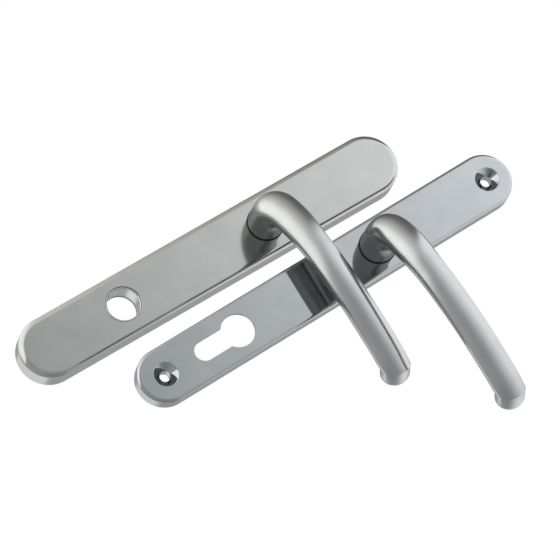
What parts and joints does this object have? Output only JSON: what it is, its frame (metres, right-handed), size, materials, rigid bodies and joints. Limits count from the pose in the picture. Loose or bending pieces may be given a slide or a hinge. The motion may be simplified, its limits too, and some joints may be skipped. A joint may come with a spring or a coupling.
{
  "type": "lever door handle set",
  "caption": "Lever door handles on long backplates, with a turning cylinder guard ring outside and a euro-profile cut-out inside.",
  "frame": {"origin": "outside half's back plane, midway between its spindle axis and its cylinder axis", "axes": "+X along the outside backplate from the cylinder end to the spindle end, +Y away from the lever tips, +Z out of the plates' faces"},
  "size_m": [0.2787, 0.1833, 0.0937],
  "materials": {
    "satin_warm_cover": "satin chrome plate, fine lengthwise grain",
    "satin_cool_cover": "bright satin chrome plate",
    "satin_lever": "satin chrome plate",
    "bright_ring": "polished",
    "hardened_steel": "zinc plated, dull",
    "zinc_plated_steel": "zinc plated",
    "spring_steel": "oiled",
    "cast_housing": "as cast",
    "black_nylon": "matte"
  },
  "bodies": {
    "backplates": {"outside_cover": "satin_warm_cover", "inside_cover": "satin_cool_cover", "outside_steel_plate": "hardened_steel", "lower_fixing_post": "zinc_plated_steel", "upper_fixing_post": "zinc_plated_steel", "guard_retaining_ring": "spring_steel", "outside_neck_bush": "black_nylon", "outside_spring_housing": "cast_housing", "outside_return_spring": "spring_steel", "outside_housing_screw_lower": "zinc_plated_steel", "outside_housing_screw_upper": "zinc_plated_steel", "inside_neck_bush": "black_nylon", "inside_spring_housing": "cast_housing", "inside_return_spring": "spring_steel", "inside_housing_screw_lower": "zinc_plated_steel", "inside_housing_screw_upper": "zinc_plated_steel"},
    "outside_lever_set": {"outside_lever": "satin_lever", "outside_drive_cam": "hardened_steel", "outside_thrust_washer": "hardened_steel", "outside_circlip": "spring_steel"},
    "inside_lever_set": {"inside_lever": "satin_lever", "inside_drive_cam": "hardened_steel", "inside_thrust_washer": "hardened_steel", "inside_circlip": "spring_steel"},
    "guard_ring": {"cylinder_guard_ring": "bright_ring"}
  },
  "joints": [
    {"name": "outside_lever_turn", "type": "hinge", "parent": "backplates", "child": "outside_lever_set", "pos_m": [0.046, 0, 0], "axis": [0, 0, 1], "range_deg": [-45, 18], "deforming": ["outside_return_spring"]},
    {"name": "inside_lever_turn", "type": "hinge", "parent": "backplates", "child": "inside_lever_set", "pos_m": [0.08199, -0.04684, 0.03], "axis": [0, 0, 1], "range_deg": [-45, 18], "deforming": ["inside_return_spring"]},
    {"name": "guard_ring_spin", "type": "hinge", "parent": "backplates", "child": "guard_ring", "pos_m": [-0.046, 0, 0], "axis": [0, 0, 1], "continuous": true}
  ],
  "couplings": [
    {"joint": "inside_lever_turn", "follows": "outside_lever_turn", "ratio": 1}
  ]
}
